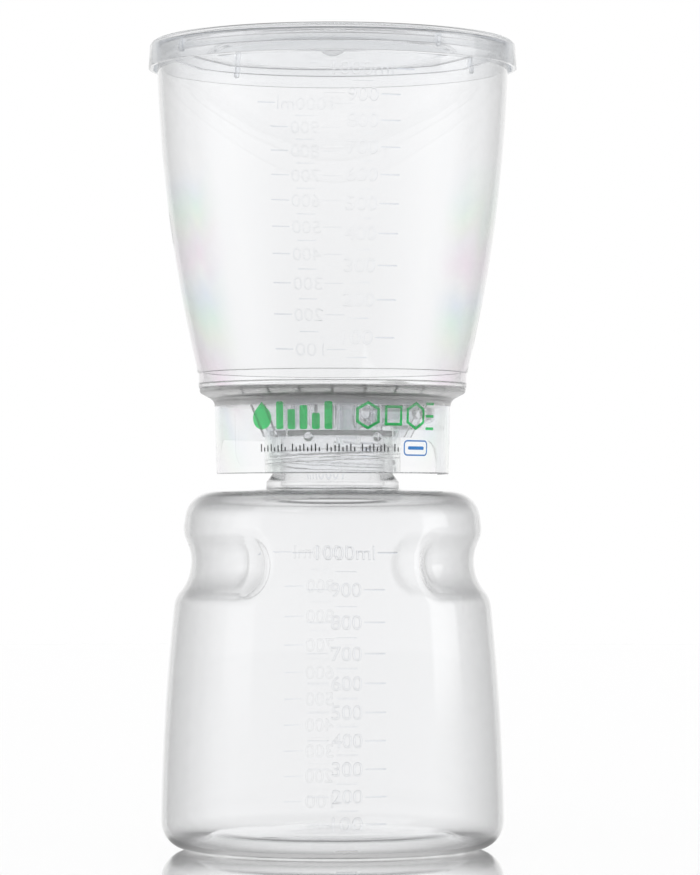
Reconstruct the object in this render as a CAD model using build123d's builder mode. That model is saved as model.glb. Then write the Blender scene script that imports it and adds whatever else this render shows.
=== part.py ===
"""Vacuum filtration unit: a lidded funnel on a filter head that screws onto a receiver bottle.

Millimetres, +Z up. The origin is on the common axis, in the plane that the bottle stands on.
Azimuths are turned from the front (-Y) towards the right (+X). Each piece stands on the one
below it, so its heights follow from that piece's.
"""

import os
from math import asin, cos, degrees, radians, sin

from build123d import *

os.makedirs("parts", exist_ok=True)

# ---------------------------------------------------------------- driving dimensions
cut_margin = 3.0             # how far a cutting solid runs past what it cuts
# receiver bottle
bottle_turn = 5.0            # the grips and the scale sit this far round from the front
bottle_wall = 1.5
foot_r = 60.17               # side wall, carried down to the standing plane
shoulder_r = 50.5
shoulder_z = 124.7
side_bulge = 2.3             # the side stands out this much, half way up
foot_round = 10.0
shoulder_round = 10.0
standing_width = 15.17       # from the ring that the bottle stands on to the foot's corner
push_up_rise = 4.4           # the base slopes in and up from that ring, then on to the centre
push_up_width = 3.0
push_up_dome = 3.0
push_up_round = 1.2          # at the foot and at the top of the slope
floor_thickness = 1.5
# grips: a round-ended groove at each side of the bottle
grip_drop = 24.2             # middle of the groove, below the shoulder
grip_round_r = 16.5
grip_stand_off = 15.6        # middle of the groove's round, outside the shoulder's radius
grip_sweep = 100.0           # azimuth between the centres of a groove's two round ends
grip_lip_round = 7.0
# bottle neck
neck_r = 21.2
neck_wall = 2.8
neck_height = 13.3
neck_lip_round = 0.6
neck_inner_round = 3.0
bead_width = 2.1
bead_height = 3.5
bead_slope = 2.7             # height over which the bead slopes in to the neck
shoulder_rise = 1.0          # the shoulder climbs this much towards the bead
# screw thread of neck and filter head
thread_pitch = 5.0
thread_turns = 1.25
thread_start = 4.1           # middle of the neck thread's lowest point, above the bead
thread_depth = 1.15
thread_root_width = 2.2
thread_crest_width = 1.0
thread_sink = 0.4            # how far a ridge is rooted in its wall
crest_clearance = 0.3        # neck thread crest to head bore
root_clearance = 0.45        # head thread crest to neck
# neck gasket
gasket_thickness = 1.8
gasket_edge_clearance = 0.35
# filter head
head_turn = 10.0             # where the screwed-on head comes to rest
collar_wall = 1.25
collar_clearance = 0.3       # collar to bead
ceiling_thickness = 1.5
chamber_inset = 1.4          # chamber's outside, in from the bottle's bore
chamber_wall = 1.3
chamber_height = 12.5
chamber_rib_count = 12
chamber_rib_width = 1.6
chamber_rib_height = 0.7
plate_r = 46.6
plate_thickness = 2.4
plate_edge_height = 1.4
plate_edge_round = 1.0
plate_flare = 0.55           # fall of the plate's underside for each millimetre inwards
skirt_inset = 5.2            # skirt's top, in from the plate's edge
skirt_taper = 0.7
skirt_clearance = 6.2        # skirt to shoulder
skirt_wall = 1.3
skirt_fillet = 3.2
skirt_edge_round = 0.5
window_height = 12.3
window_half_angle = 80.0
window_corner = 9.0
fin_angles = (-60.0, 60.0, 180.0)   # pairs of fins, from the head's own front
fin_spacing = 7.0
fin_thickness = 1.3
fin_drop = 2.3               # foot of a fin, below the ceiling
fin_foot_width = 3.8
fin_skirt_gap = 6.1
pip_r = 1.7
pip_angles = (-30.0, 30.0)
drain_depth = 1.1            # recess under the membrane
drain_margin = 4.1           # recess, in from the plate's edge
drain_rib_width = 0.9
drain_rib_count = 24
drain_ring_inner_r = 13.0
drain_ring_pitch = 7.5
spout_x = 5.6
spout_r = 4.3
spout_bore_r = 3.1
spout_length = 5.0           # below the ceiling
# vacuum port of the filter head
port_angle = 120.0           # from the head's own front
port_drop = 5.5              # axis of the port, below the plate
port_duct_r = 6.0
port_bore_r = 2.3
port_cone_inset = 2.9        # cone's start, inside the skirt's top
port_cone_length = 5.5
nozzle_r = 3.45
nozzle_length = 3.4
plug_clearance = 0.03
plug_length = 5.0
plug_setback = 0.5
# membrane
membrane_overlap = 2.1       # onto the plate, outside the recess
membrane_thickness = 0.3
membrane_clearance = 0.9
# funnel
funnel_wall = 1.3
band_overhang = 0.4          # band, out over the plate's edge
band_height = 5.6
band_foot_round = 0.6
ledge_setback = 0.7          # ledge's inner edge, outside the drain recess
ledge_thickness = 1.4
funnel_step = 0.3            # funnel's foot, out over the band
funnel_rim_r = 61.5
funnel_height = 119.6        # plate to rim
funnel_straight_height = 11.5
funnel_bulge = 2.5           # the side stands out this much, half way up
rim_round = 0.4
# lid
lid_wall = 1.3
lid_crown_thickness = 1.7    # over the funnel's rim
lid_height = 9.5
lid_gap = 1.3                # between the funnel's rim and the lid's skirt
lid_flare = 0.55
lid_round = 2.0
lid_inner_round = 0.6
lid_seat_gap = 0.5
well_clearance = 0.7
well_depth = 5.8
panel_drop = 2.0
panel_thickness = 1.2
panel_width = 16.0           # from the lid's well in to the sunk disc
disc_drop = 0.9
dimple_r = 4.15
dimple_depth = 1.3
lid_rib_angles = (35.0, 125.0, 215.0, 305.0)
lid_rib_width = 1.8
lid_rib_setback = 1.4
lid_rib_clearance = 0.15

# ---------------------------------------------------------------- heights and radii that follow
ring_r = foot_r - standing_width
push_up_r = ring_r - push_up_width
push_up_centre_z = push_up_rise + push_up_dome
belly_r = (foot_r + shoulder_r) / 2 + side_bulge
belly_z = shoulder_z / 2
grip_z = shoulder_z - grip_drop
grip_centre_r = shoulder_r + grip_stand_off

bead_r = neck_r + bead_width
bead_top_z = shoulder_z + bead_height
neck_base_z = bead_top_z + bead_slope
neck_top_z = neck_base_z + neck_height
neck_bore_r = neck_r - neck_wall
thread_start_z = neck_base_z + thread_start

collar_bore_r = neck_r + thread_depth + crest_clearance
collar_r = collar_bore_r + collar_wall
collar_base_z = neck_base_z + collar_clearance
ceiling_base_z = neck_top_z + gasket_thickness
ceiling_top_z = ceiling_base_z + ceiling_thickness
chamber_r = neck_bore_r - chamber_inset
plate_base_z = ceiling_base_z + chamber_height
plate_top_z = plate_base_z + plate_thickness
plate_edge_z = plate_top_z - plate_edge_height
skirt_top_r = plate_r - skirt_inset
skirt_base_r = skirt_top_r - skirt_taper
skirt_top_z = plate_edge_z - skirt_inset * plate_flare
skirt_base_z = shoulder_z + skirt_clearance
window_top_z = skirt_base_z + window_height
fin_base_z = ceiling_base_z - fin_drop
drain_r = plate_r - drain_margin
spout_tip_z = ceiling_base_z - spout_length
port_z = plate_base_z - port_drop
port_cone_start = skirt_top_r - port_cone_inset
nozzle_start = port_cone_start + port_cone_length
nozzle_end = nozzle_start + nozzle_length

membrane_r = drain_r + membrane_overlap
band_r = plate_r + band_overhang
band_inner_r = membrane_r + membrane_clearance
band_top_z = plate_top_z + band_height
ledge_inner_r = drain_r + ledge_setback
ledge_base_z = plate_top_z + membrane_thickness
ledge_top_z = ledge_base_z + ledge_thickness
funnel_base_r = band_r + funnel_step
funnel_rim_z = plate_top_z + funnel_height
funnel_straight_z = funnel_rim_z - funnel_straight_height
funnel_mid_r = (funnel_base_r + funnel_rim_r) / 2 + funnel_bulge
funnel_mid_z = (band_top_z + funnel_straight_z) / 2

lid_ceiling_z = funnel_rim_z + lid_seat_gap
lid_top_z = lid_ceiling_z + lid_crown_thickness
lid_base_z = lid_top_z - lid_height
lid_top_r = funnel_rim_r + lid_gap + lid_wall
lid_base_r = lid_top_r + lid_flare
well_outer_r = funnel_rim_r - funnel_wall - well_clearance
well_inner_r = well_outer_r - lid_wall
well_base_z = lid_top_z - well_depth
panel_top_z = lid_top_z - panel_drop
panel_base_z = panel_top_z - panel_thickness
disc_r = well_outer_r - panel_width
disc_top_z = panel_top_z - disc_drop
disc_base_z = disc_top_z - panel_thickness


def polar(radius, azimuth, z=0.0):
    """Point at a radius and an azimuth from the front."""
    return Vector(radius * sin(radians(azimuth)), -radius * cos(radians(azimuth)), z)


def radial_plane(azimuth):
    """Upright plane through the axis: its x runs outward at the azimuth, its y runs up."""
    outward = polar(1, azimuth)
    return Plane(origin=(0, 0, 0), x_dir=outward, z_dir=outward.cross(Vector(0, 0, 1)))


def round_corner(sketch, radius, height, amount):
    """Round the corner of a profile that lies nearest to the given point."""
    fillet(sketch.vertices().sort_by_distance(Vector(radius, height, 0))[0], amount)


def thread_ridge(root_r, crest_r, start_z):
    """One helical ridge of trapezoid section, from its root radius to its crest radius."""
    outward = 1 if crest_r > root_r else -1
    with BuildPart() as ridge:
        with BuildLine() as path:
            Helix(thread_pitch, thread_pitch * thread_turns, root_r, center=(0, 0, start_z))
        section = Plane(origin=path.line @ 0, x_dir=(1, 0, 0), z_dir=path.line % 0)
        with BuildSketch(section):
            with BuildLine():
                Polyline(
                    (-outward * thread_sink, -thread_root_width / 2),
                    (crest_r - root_r, -thread_crest_width / 2),
                    (crest_r - root_r, thread_crest_width / 2),
                    (-outward * thread_sink, thread_root_width / 2),
                    close=True,
                )
            make_face()
        sweep(is_frenet=True)
    return ridge.part


def grip_cutters(inset):
    """The two grip grooves as round-ended solids, grown by the inset."""
    with BuildPart() as cutters:
        for side in (bottle_turn - 90, bottle_turn + 90):
            with BuildSketch(radial_plane(side - grip_sweep / 2)):
                with Locations((grip_centre_r, grip_z)):
                    Circle(grip_round_r + inset)
            revolve(axis=Axis.Z, revolution_arc=grip_sweep)
            for end in (-grip_sweep / 2, grip_sweep / 2):
                with Locations(polar(grip_centre_r, side + end, grip_z)):
                    Sphere(grip_round_r + inset)
    return cutters.part


def grip_lips(part, inset):
    """Edges where the grooves meet the bottle's side: beside a groove, clear of its bottom."""
    clear_of_bottom = 1.0
    nearly_upright = 0.95
    groove_r = grip_round_r + inset
    least_r = grip_centre_r - groove_r + clear_of_bottom

    def is_lip(edge):
        middle = edge @ 0.5
        beside_groove = abs(middle.Z - grip_z) < groove_r
        on_side_wall = Vector(middle.X, middle.Y).length > least_r
        upright = abs((edge % 0.25).Z) > nearly_upright
        return beside_groove and on_side_wall and not upright

    return part.edges().filter_by(is_lip)


# ---------------------------------------------------------------- receiver bottle
with BuildPart() as bottle_outside:
    with BuildSketch(Plane.XZ) as profile:
        with BuildLine():
            Polyline((0, push_up_centre_z), (push_up_r, push_up_rise), (ring_r, 0), (foot_r, 0))
            ThreePointArc((foot_r, 0), (belly_r, belly_z), (shoulder_r, shoulder_z))
            Polyline(
                (shoulder_r, shoulder_z),
                (bead_r, shoulder_z + shoulder_rise),
                (bead_r, bead_top_z),
                (neck_r, neck_base_z),
                (neck_r, neck_top_z),
                (0, neck_top_z),
                (0, push_up_centre_z),
            )
        make_face()
        round_corner(profile, foot_r, 0, foot_round)
        round_corner(profile, ring_r, 0, push_up_round)
        round_corner(profile, push_up_r, push_up_rise, push_up_round)
        round_corner(profile, shoulder_r, shoulder_z, shoulder_round)
        round_corner(profile, neck_r, neck_top_z, neck_lip_round)
    revolve(axis=Axis.Z)
    add(grip_cutters(0), mode=Mode.SUBTRACT)
    fillet(grip_lips(bottle_outside, 0), grip_lip_round)

with BuildPart() as bottle_inside:
    with BuildSketch(Plane.XZ) as profile:
        inner_foot_r = foot_r - bottle_wall
        inner_shoulder_r = shoulder_r - bottle_wall
        under_shoulder_z = shoulder_z - bottle_wall
        with BuildLine():
            Polyline(
                (0, push_up_centre_z + floor_thickness),
                (push_up_r, push_up_rise + floor_thickness),
                (ring_r + floor_thickness, floor_thickness),
                (inner_foot_r, floor_thickness),
            )
            ThreePointArc(
                (inner_foot_r, floor_thickness),
                (belly_r - bottle_wall, belly_z),
                (inner_shoulder_r, under_shoulder_z),
            )
            Polyline(
                (inner_shoulder_r, under_shoulder_z),
                (neck_bore_r, under_shoulder_z + shoulder_rise),
                (neck_bore_r, neck_top_z + cut_margin),
                (0, neck_top_z + cut_margin),
                (0, push_up_centre_z + floor_thickness),
            )
        make_face()
        round_corner(profile, inner_foot_r, floor_thickness, foot_round - bottle_wall)
        round_corner(profile, ring_r + floor_thickness, floor_thickness, push_up_round)
        round_corner(profile, push_up_r, push_up_rise + floor_thickness, push_up_round)
        round_corner(profile, inner_shoulder_r, under_shoulder_z, shoulder_round - bottle_wall)
        round_corner(profile, neck_bore_r, under_shoulder_z + shoulder_rise, neck_inner_round)
    revolve(axis=Axis.Z)
    add(grip_cutters(bottle_wall), mode=Mode.SUBTRACT)
    fillet(grip_lips(bottle_inside, bottle_wall), grip_lip_round - bottle_wall)

with BuildPart() as receiver_bottle:
    add(bottle_outside.part)
    add(thread_ridge(neck_r, neck_r + thread_depth, thread_start_z))
    add(bottle_inside.part, mode=Mode.SUBTRACT)
receiver_bottle.part.label = "receiver_bottle"
export_step(receiver_bottle.part, "parts/receiver_bottle.step")

# ---------------------------------------------------------------- neck gasket
with BuildPart() as neck_gasket:
    with BuildSketch(Plane.XY.offset(neck_top_z)):
        Circle(collar_bore_r - gasket_edge_clearance)
        Circle(neck_bore_r, mode=Mode.SUBTRACT)
    extrude(amount=gasket_thickness)
neck_gasket.part.label = "neck_gasket"
export_step(neck_gasket.part, "parts/neck_gasket.step")

# ---------------------------------------------------------------- filter head
with BuildPart() as skirt_window:
    with BuildSketch(radial_plane(head_turn + 180 - window_half_angle)):
        with BuildLine():
            Polyline(
                (skirt_base_r - skirt_wall - cut_margin, skirt_base_z - cut_margin),
                (skirt_top_r + cut_margin, skirt_base_z - cut_margin),
                (skirt_top_r + cut_margin, window_top_z),
                (skirt_base_r - skirt_wall - cut_margin, window_top_z),
                close=True,
            )
        make_face()
    revolve(axis=Axis.Z, revolution_arc=2 * window_half_angle)
    top_edges = skirt_window.edges().group_by(Axis.Z)[-1]
    fillet(top_edges.filter_by(GeomType.LINE), window_corner)

with BuildPart() as filter_base:
    # plate, skirt, collar and chamber wall turned as one
    with BuildSketch(Plane.XZ) as profile:
        with BuildLine():
            Polyline(
                (0, plate_top_z),
                (plate_r, plate_top_z),
                (plate_r, plate_edge_z),
                (skirt_top_r, skirt_top_z),
                (skirt_base_r, skirt_base_z),
                (skirt_base_r - skirt_wall, skirt_base_z),
                (skirt_top_r - skirt_wall, plate_base_z),
                (chamber_r, plate_base_z),
                (chamber_r, ceiling_top_z),
                (collar_r, ceiling_top_z),
                (collar_r, collar_base_z),
                (collar_bore_r, collar_base_z),
                (collar_bore_r, ceiling_base_z),
                (chamber_r - chamber_wall, ceiling_base_z),
                (chamber_r - chamber_wall, plate_base_z),
                (0, plate_base_z),
                close=True,
            )
        make_face()
        round_corner(profile, plate_r, plate_edge_z, plate_edge_round)
        round_corner(profile, skirt_top_r, skirt_top_z, skirt_fillet)
        round_corner(profile, skirt_base_r, skirt_base_z, skirt_edge_round)
    revolve(axis=Axis.Z)
    add(skirt_window.part, mode=Mode.SUBTRACT)
    # drain recess with the ribs that carry the membrane
    ring_count = int((drain_r - drain_ring_inner_r) / drain_ring_pitch) + 1
    with BuildSketch(Plane.XY.offset(plate_top_z)):
        Circle(drain_r)
        for ring in reversed(range(ring_count)):
            rib_middle_r = drain_ring_inner_r + ring * drain_ring_pitch
            Circle(rib_middle_r + drain_rib_width / 2, mode=Mode.SUBTRACT)
            Circle(rib_middle_r - drain_rib_width / 2)
        with PolarLocations((drain_ring_inner_r + drain_r) / 2, drain_rib_count):
            Rectangle(drain_r - drain_ring_inner_r, drain_rib_width, mode=Mode.SUBTRACT)
    extrude(amount=-drain_depth, mode=Mode.SUBTRACT)
    # drip spout, off the axis, from the recess down into the bottle's neck
    with BuildSketch(Plane.XY.offset(spout_tip_z)):
        with Locations((spout_x, 0)):
            Circle(spout_r)
    extrude(until=Until.NEXT)
    with BuildSketch(Plane.XY.offset(spout_tip_z)):
        with Locations((spout_x, 0)):
            Circle(spout_bore_r)
    extrude(amount=plate_top_z - spout_tip_z, mode=Mode.SUBTRACT)
    # ribs on the chamber wall
    with BuildSketch(Plane.XY.offset(ceiling_top_z)):
        with PolarLocations(chamber_r + (chamber_rib_height - chamber_wall) / 2, chamber_rib_count):
            Rectangle(chamber_rib_height + chamber_wall, chamber_rib_width)
    extrude(amount=plate_base_z - ceiling_top_z)
    # pairs of fins between the plate and the collar
    fin_root_r = collar_bore_r + collar_wall / 2
    fin_root_z = ceiling_base_z + ceiling_thickness / 2
    for angle in fin_angles:
        for offset in (-fin_spacing / 2, fin_spacing / 2):
            with BuildSketch(radial_plane(head_turn + angle).offset(offset)):
                with BuildLine():
                    Polyline(
                        (fin_root_r, fin_base_z),
                        (collar_r + fin_foot_width, fin_base_z),
                        (skirt_top_r - fin_skirt_gap, plate_base_z),
                        (chamber_r, plate_base_z),
                        (chamber_r, fin_root_z),
                        (fin_root_r, fin_root_z),
                        close=True,
                    )
                make_face()
            extrude(amount=fin_thickness / 2, both=True)
    # pips on the front of the collar
    for angle in pip_angles:
        with Locations(polar(collar_r, head_turn + angle, fin_base_z)):
            Sphere(pip_r)
    # vacuum port: a duct from the chamber, a cone at the skirt and a short nozzle
    outward = polar(1, head_turn + port_angle)
    port_axis = Plane(origin=(0, 0, port_z), z_dir=outward, x_dir=(0, 0, 1))
    duct_start = chamber_r - chamber_wall / 2
    with BuildSketch(port_axis.offset(duct_start)):
        Circle(port_duct_r)
    extrude(amount=port_cone_start - duct_start)
    with BuildSketch(port_axis.offset(port_cone_start)):
        Circle(port_duct_r)
    with BuildSketch(port_axis.offset(nozzle_start)):
        Circle(nozzle_r)
    loft()
    with BuildSketch(port_axis.offset(nozzle_start)):
        Circle(nozzle_r)
    extrude(amount=nozzle_length)
    bore_start = chamber_r - 2 * chamber_wall
    with BuildSketch(port_axis.offset(bore_start)):
        Circle(port_bore_r)
    extrude(amount=nozzle_end - bore_start, mode=Mode.SUBTRACT)
    # thread inside the collar, half a pitch below the neck's
    add(thread_ridge(collar_bore_r, neck_r + root_clearance, thread_start_z - thread_pitch / 2))
filter_base.part.label = "filter_base"
export_step(filter_base.part, "parts/filter_base.step")

# ---------------------------------------------------------------- plug in the vacuum port
with BuildPart() as port_plug:
    with BuildSketch(port_axis.offset(nozzle_end - plug_setback - plug_length)):
        Circle(port_bore_r - plug_clearance)
    extrude(amount=plug_length)
port_plug.part.label = "port_plug"
export_step(port_plug.part, "parts/port_plug.step")

# ---------------------------------------------------------------- membrane
with BuildPart() as membrane:
    with BuildSketch(Plane.XY.offset(plate_top_z)):
        Circle(membrane_r)
    extrude(amount=membrane_thickness)
membrane.part.label = "membrane"
export_step(membrane.part, "parts/membrane.step")

# ---------------------------------------------------------------- funnel
with BuildPart() as funnel:
    with BuildSketch(Plane.XZ) as profile:
        with BuildLine():
            Polyline(
                (band_inner_r, plate_top_z),
                (band_r, plate_top_z),
                (band_r, band_top_z),
                (funnel_base_r, band_top_z),
            )
            ThreePointArc(
                (funnel_base_r, band_top_z),
                (funnel_mid_r, funnel_mid_z),
                (funnel_rim_r, funnel_straight_z),
            )
            Polyline(
                (funnel_rim_r, funnel_straight_z),
                (funnel_rim_r, funnel_rim_z),
                (funnel_rim_r - funnel_wall, funnel_rim_z),
                (funnel_rim_r - funnel_wall, funnel_straight_z),
            )
            ThreePointArc(
                (funnel_rim_r - funnel_wall, funnel_straight_z),
                (funnel_mid_r - funnel_wall, funnel_mid_z),
                (funnel_base_r - funnel_wall, band_top_z),
            )
            Polyline(
                (funnel_base_r - funnel_wall, band_top_z),
                (band_inner_r, band_top_z),
                (band_inner_r, ledge_top_z),
                (ledge_inner_r, ledge_top_z),
                (ledge_inner_r, ledge_base_z),
                (band_inner_r, ledge_base_z),
                (band_inner_r, plate_top_z),
            )
        make_face()
        round_corner(profile, band_r, plate_top_z, band_foot_round)
        round_corner(profile, funnel_rim_r, funnel_rim_z, rim_round)
        round_corner(profile, funnel_rim_r - funnel_wall, funnel_rim_z, rim_round)
    revolve(axis=Axis.Z)
funnel.part.label = "funnel"
export_step(funnel.part, "parts/funnel.step")

# ---------------------------------------------------------------- lid
dimple_ball_r = (dimple_r**2 + dimple_depth**2) / (2 * dimple_depth)
dimple_angle = degrees(asin(dimple_r / dimple_ball_r))

with BuildPart() as lid:
    with BuildSketch(Plane.XZ) as profile:
        with BuildLine():
            Polyline(
                (dimple_r, disc_top_z),
                (disc_r, disc_top_z),
                (disc_r + disc_drop, panel_top_z),
                (well_inner_r, panel_top_z),
                (well_inner_r, lid_top_z),
                (lid_top_r, lid_top_z),
                (lid_base_r, lid_base_z),
                (lid_base_r - lid_wall, lid_base_z),
                (lid_top_r - lid_wall, lid_ceiling_z),
                (well_outer_r, lid_ceiling_z),
                (well_outer_r, well_base_z),
                (well_inner_r, well_base_z),
                (well_inner_r, panel_base_z),
                (disc_r + disc_drop, panel_base_z),
                (disc_r, disc_base_z),
                (dimple_r, disc_base_z),
            )
            for height in (disc_top_z, disc_base_z):
                ball_z = height - dimple_depth + dimple_ball_r
                CenterArc((0, ball_z), dimple_ball_r, -90, dimple_angle)
            Line((0, disc_top_z - dimple_depth), (0, disc_base_z - dimple_depth))
        make_face()
        round_corner(profile, lid_top_r, lid_top_z, lid_round)
        round_corner(profile, well_inner_r, lid_top_z, lid_inner_round)
    revolve(axis=Axis.Z)
    # ribs inside the skirt that grip the funnel
    rib_inner_r = funnel_rim_r + lid_rib_clearance
    rib_outer_r = lid_top_r - lid_wall / 2
    rib_base_z = lid_base_z + lid_rib_setback
    for angle in lid_rib_angles:
        with BuildSketch(radial_plane(angle)):
            with BuildLine():
                Polyline(
                    (rib_outer_r, rib_base_z),
                    (rib_inner_r, rib_base_z + rib_outer_r - rib_inner_r),
                    (rib_inner_r, lid_ceiling_z),
                    (rib_outer_r, lid_ceiling_z),
                    close=True,
                )
            make_face()
        extrude(amount=lid_rib_width / 2, both=True)
lid.part.label = "lid"
export_step(lid.part, "parts/lid.step")
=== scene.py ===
import math

import bmesh
import bpy
import numpy as np
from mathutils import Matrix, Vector
from mathutils.bvhtree import BVHTree


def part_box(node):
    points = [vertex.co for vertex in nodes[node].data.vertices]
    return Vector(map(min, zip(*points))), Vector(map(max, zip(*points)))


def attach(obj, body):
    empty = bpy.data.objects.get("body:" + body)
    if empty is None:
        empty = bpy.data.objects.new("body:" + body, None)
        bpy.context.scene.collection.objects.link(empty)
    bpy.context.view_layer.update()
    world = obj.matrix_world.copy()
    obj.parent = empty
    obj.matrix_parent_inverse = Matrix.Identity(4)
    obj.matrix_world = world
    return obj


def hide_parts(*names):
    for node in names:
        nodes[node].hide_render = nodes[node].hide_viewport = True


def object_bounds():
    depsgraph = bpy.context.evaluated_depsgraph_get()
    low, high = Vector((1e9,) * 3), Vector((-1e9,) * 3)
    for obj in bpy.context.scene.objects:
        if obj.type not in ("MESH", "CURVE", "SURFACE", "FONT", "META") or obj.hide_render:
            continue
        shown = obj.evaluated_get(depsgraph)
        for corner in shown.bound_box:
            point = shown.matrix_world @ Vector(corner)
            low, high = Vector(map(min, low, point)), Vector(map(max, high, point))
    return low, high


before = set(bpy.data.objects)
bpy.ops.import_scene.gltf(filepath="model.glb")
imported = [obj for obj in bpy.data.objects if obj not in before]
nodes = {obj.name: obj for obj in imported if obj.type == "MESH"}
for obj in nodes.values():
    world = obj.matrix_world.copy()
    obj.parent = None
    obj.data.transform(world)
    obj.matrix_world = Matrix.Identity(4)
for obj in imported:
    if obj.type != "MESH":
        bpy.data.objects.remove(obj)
cadLow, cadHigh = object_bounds()
mm = 0.001
scene = bpy.context.scene
print("frame loaded:", ", ".join(sorted(nodes)))


# small helpers for node trees

def addNode(tree, kind, inputs=None, **options):
    # inputs are plain values or the outputs of other nodes
    node = tree.nodes.new("ShaderNode" + kind)
    for name, value in options.items():
        setattr(node, name, value)
    for socket, value in (inputs or {}).items():
        if isinstance(value, bpy.types.NodeSocket):
            tree.links.new(value, node.inputs[socket])
        else:
            node.inputs[socket].default_value = value
    return node


def calc(tree, operation, *values):
    inputs = dict(enumerate(values))
    return addNode(tree, "Math", inputs, operation=operation).outputs[0]


def times(tree, first, second):
    return calc(tree, "MULTIPLY", first, second)


def blendColours(tree, factor, first, second, way="MIX"):
    inputs = {"Factor": factor, 6: first, 7: second}
    return addNode(tree, "Mix", inputs, data_type="RGBA", blend_type=way).outputs[2]


def grey(level):
    return (level, level, level, 1)


def greys(stops):
    return [(position, grey(level)) for position, level in stops]


def ramp(tree, factor, stops):
    node = addNode(tree, "ValToRGB", {0: factor})
    band = node.color_ramp
    while len(band.elements) < len(stops):
        band.elements.new(0.5)
    for element, (position, colour) in zip(band.elements, stops):
        element.position = position
        element.color = colour
    return node.outputs[0]


def eased(tree, value, none, full, most=1.0):
    # rises smoothly from 0, where the value is none, to most, where it is full
    inputs = {"Value": value, "From Min": none, "From Max": full, "To Max": most}
    return addNode(tree, "MapRange", inputs, interpolation_type="SMOOTHSTEP").outputs[0]


def splitPlace(tree, where):
    # the level part of a place or direction, and its height
    axes = addNode(tree, "SeparateXYZ", {0: where}).outputs
    level = addNode(tree, "CombineXYZ", {0: axes["X"], 1: axes["Y"]})
    return level.outputs[0], axes["Z"]


def lengthOf(tree, vector):
    return addNode(tree, "VectorMath", {0: vector}, operation="LENGTH").outputs["Value"]


def objectPlace(tree):
    return addNode(tree, "TexCoord").outputs["Object"]


def facing(tree):
    # 0 where a surface is seen straight on, 1 where it is seen edge on
    return addNode(tree, "LayerWeight", {"Blend": 0.5}).outputs["Facing"]


def noise(tree, where, size, detail, distortion=0.0):
    inputs = {"Vector": where, "Scale": size, "Detail": detail, "Distortion": distortion}
    return addNode(tree, "TexNoise", inputs).outputs["Fac"]


def bump(tree, height, strength, depth, under=None):
    inputs = {"Height": height, "Strength": strength, "Distance": depth}
    if under is not None:
        inputs["Normal"] = under
    return addNode(tree, "Bump", inputs).outputs[0]


def newMaterial(name, settings):
    # settings are plain values of the shader's own sockets
    material = bpy.data.materials.new(name)
    material.use_nodes = True
    tree = material.node_tree
    for socket, value in settings.items():
        tree.nodes["Principled BSDF"].inputs[socket].default_value = value
    return material, tree


def feed(tree, sockets):
    # outputs of nodes go onto the shader's own sockets
    for socket, output in sockets.items():
        tree.links.new(output, tree.nodes["Principled BSDF"].inputs[socket])


def wear(piece, material):
    piece.data.materials.clear()
    piece.data.materials.append(material)


def setOut(name, data):
    placed = bpy.data.objects.new(name, data)
    scene.collection.objects.link(placed)
    return placed


def outward(azimuth):
    # azimuth turns from the front towards the right
    return Vector((math.sin(azimuth), -math.cos(azimuth), 0))


def spotAt(azimuth, r, z):
    return outward(azimuth) * r + Vector((0, 0, z))


def quads(first, second, count):
    # faces between two rings of points, by the number of each ring's first point
    return [(first + k, first + (k + 1) % count, second + (k + 1) % count, second + k)
            for k in range(count)]


def cap(first, count):
    return tuple(range(first, first + count))


# camera, light and table

shot = {
    "lens": 173.8,
    "distance": 1.482,   # in front of the unit's axis
    "height": 0.1128,
    "side": 0.0061,      # the unit stands a little left of the middle
    "tiltUp": 1.2,
}

studio = {
    "bounces": 120,          # light runs round inside the foot's thick ring
    "plainLight": 0.80,      # world, on everything but mirror and glass
    "vesselLight": 2.4,      # the same for what lies inside the clear walls
    # light of the world by height, as mirror and glass show it
    "dome": ((0.0, 1.0), (0.19, 1.0), (0.40, 0.50), (0.56, 0.24), (0.85, 0.20), (1.0, 0.30)),
    # upright strip lights, seen only as reflections: direction, half width, added light
    "strips": ((88.0, 15.0, 1.4), (-70.0, 14.0, 0.5)),
    "stripFoot": (0.02, 0.10),     # heights at which their light is none and full
    "stripHead": (0.65, 0.45),
    "lampPower": 1.5,
    "lampSize": 0.9,
    "lampReach": 1.1,        # to its left and up
    "lampNear": 0.66,        # in front, before the turn
    "lampTurn": 35.0,
    "tableRadius": 2.6,
    "tableSides": 96,
    "tableDrop": 0.3 * mm,   # keeps the table clear of the standing ring
    "tableColour": (0.86, 0.865, 0.87, 1.0),
    "tableRoughness": 0.5,
    "tableGloss": 0.04,
    "tableFill": 0.30,       # light that only the camera sees
    # how much of a mirror the polished top is, from straight above to level with it
    "tableMirror": ((0.0, 0.04), (0.55, 0.10), (0.80, 0.35), (0.92, 0.88), (1.0, 1.0)),
    # painted shadow: the light of the top as seen through the plastic, by distance from the axis,
    # dim under the foot
    "tableThrough": ((0.0, 0.92), (0.46, 0.86), (0.54, 0.60), (0.62, 0.70), (0.80, 0.93),
                     (1.0, 0.98)),
    "tableThroughReach": 0.10,
    # deeper painted shadow under the foot's two sides: in a ring, from where sideways, and how deep
    "tableSideRing": ((0.46, 0.0), (0.52, 1.0), (0.60, 1.0), (0.66, 0.0)),
    "tableSideFrom": ((0.36, 0.0), (0.55, 1.0)),
    "tableSideShade": 0.45,
}


def addCamera():
    camera = bpy.data.cameras.new("camera")
    camera.lens = shot["lens"]
    eye = setOut("camera", camera)
    eye.location = (shot["side"], -shot["distance"], shot["height"])
    eye.rotation_euler = (math.radians(90 + shot["tiltUp"]), 0, 0)
    scene.camera = eye


def glassOrMirror(tree, path):
    return calc(tree, "MAXIMUM", path["Is Glossy Ray"], path["Is Transmission Ray"])


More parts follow.
